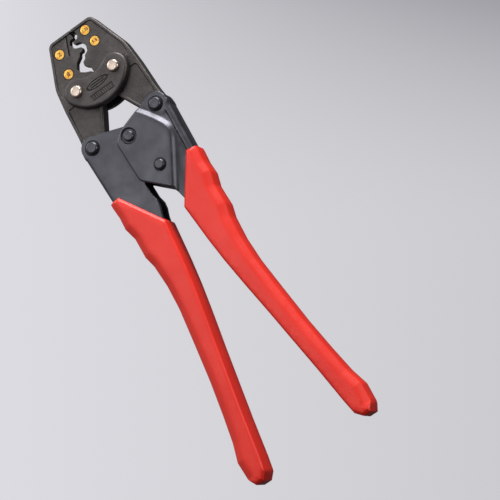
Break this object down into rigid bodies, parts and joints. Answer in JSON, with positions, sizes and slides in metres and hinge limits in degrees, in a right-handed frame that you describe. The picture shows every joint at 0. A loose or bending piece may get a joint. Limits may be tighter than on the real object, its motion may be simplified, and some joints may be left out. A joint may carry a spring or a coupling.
{
  "type": "crimping tool",
  "caption": "Hand crimping tool with two forged jaws on link plates, a compound handle linkage with a ratchet, and dipped grips.",
  "frame": {"origin": "bottom centre of the tool: level with the lowest points of the grips, midway between them, halfway through the thickness of the jaws", "axes": "+Z from the jaw pins towards the jaw tips, -Y out of the front face with the domed jaw pin heads, +X to the right seen from the front"},
  "size_m": [0.0776, 0.022, 0.2657],
  "materials": {
    "forged_steel": "forged steel with a dark oxide finish, satin and slightly grainy",
    "pressed_steel": "pressed sheet steel with a dark blue-grey satin finish",
    "black_rivet": "blackened steel, satin, smooth domes",
    "nickel": "nickel plate, bright satin",
    "brass": "turned brass, satin, with stamped numerals",
    "red_grip": "dipped soft vinyl, satin gloss",
    "bare_steel": "hardened steel, ground",
    "spring_steel": "drawn spring wire"
  },
  "bodies": {
    "head": {"front_link_plate": "forged_steel", "rear_link_plate": "forged_steel", "jaw_pins": "nickel", "jaw_pin_washers": "nickel", "jaw_pin_nuts": "nickel"},
    "left_jaw": {"left_jaw": "forged_steel", "left_size_discs": "brass", "left_tail_pin": "black_rivet"},
    "right_jaw": {"right_jaw": "forged_steel", "right_size_discs": "brass", "right_tail_pin": "black_rivet"},
    "left_handle": {"left_handle": "pressed_steel", "ratchet_sector": "bare_steel", "sector_rivets": "black_rivet", "left_grip": "red_grip"},
    "right_handle": {"right_handle": "pressed_steel", "centre_pin": "black_rivet", "pawl_pin": "black_rivet", "pawl_spacers": "bare_steel", "pawl_spring": "spring_steel", "spring_post": "black_rivet", "right_grip": "red_grip"},
    "pawl": {"ratchet_pawl": "bare_steel"}
  },
  "joints": [
    {"name": "left_jaw_pivot", "type": "hinge", "parent": "head", "child": "left_jaw", "pos_m": [-0.0124, 0, 0.232], "axis": [0, -1, 0], "range_deg": [-0.27, 8.5]},
    {"name": "right_jaw_pivot", "type": "hinge", "parent": "head", "child": "right_jaw", "pos_m": [0.0124, 0, 0.232], "axis": [0, 1, 0], "range_deg": [-0.27, 8.5]},
    {"name": "left_handle_pivot", "type": "hinge", "parent": "left_jaw", "child": "left_handle", "pos_m": [-0.0212, 0, 0.2012], "axis": [0, 1, 0], "range_deg": [-1.07, 33.5]},
    {"name": "right_handle_pivot", "type": "hinge", "parent": "right_jaw", "child": "right_handle", "pos_m": [0.0212, 0, 0.2012], "axis": [0, -1, 0], "range_deg": [-1.07, 33.5]},
    {"name": "pawl_pivot", "type": "hinge", "parent": "right_handle", "child": "pawl", "pos_m": [0.007, 0, 0.171], "axis": [0, -1, 0], "range_deg": [-15, 15], "stiffness_Nm_per_rad": 0.005}
  ],
  "couplings": [
    {"joint": "left_handle_pivot", "follows": "right_handle_pivot", "ratio": 1},
    {"joint": "left_jaw_pivot", "follows": "right_handle_pivot", "ratio": 0.25373},
    {"joint": "right_jaw_pivot", "follows": "right_handle_pivot", "ratio": 0.25373}
  ]
}
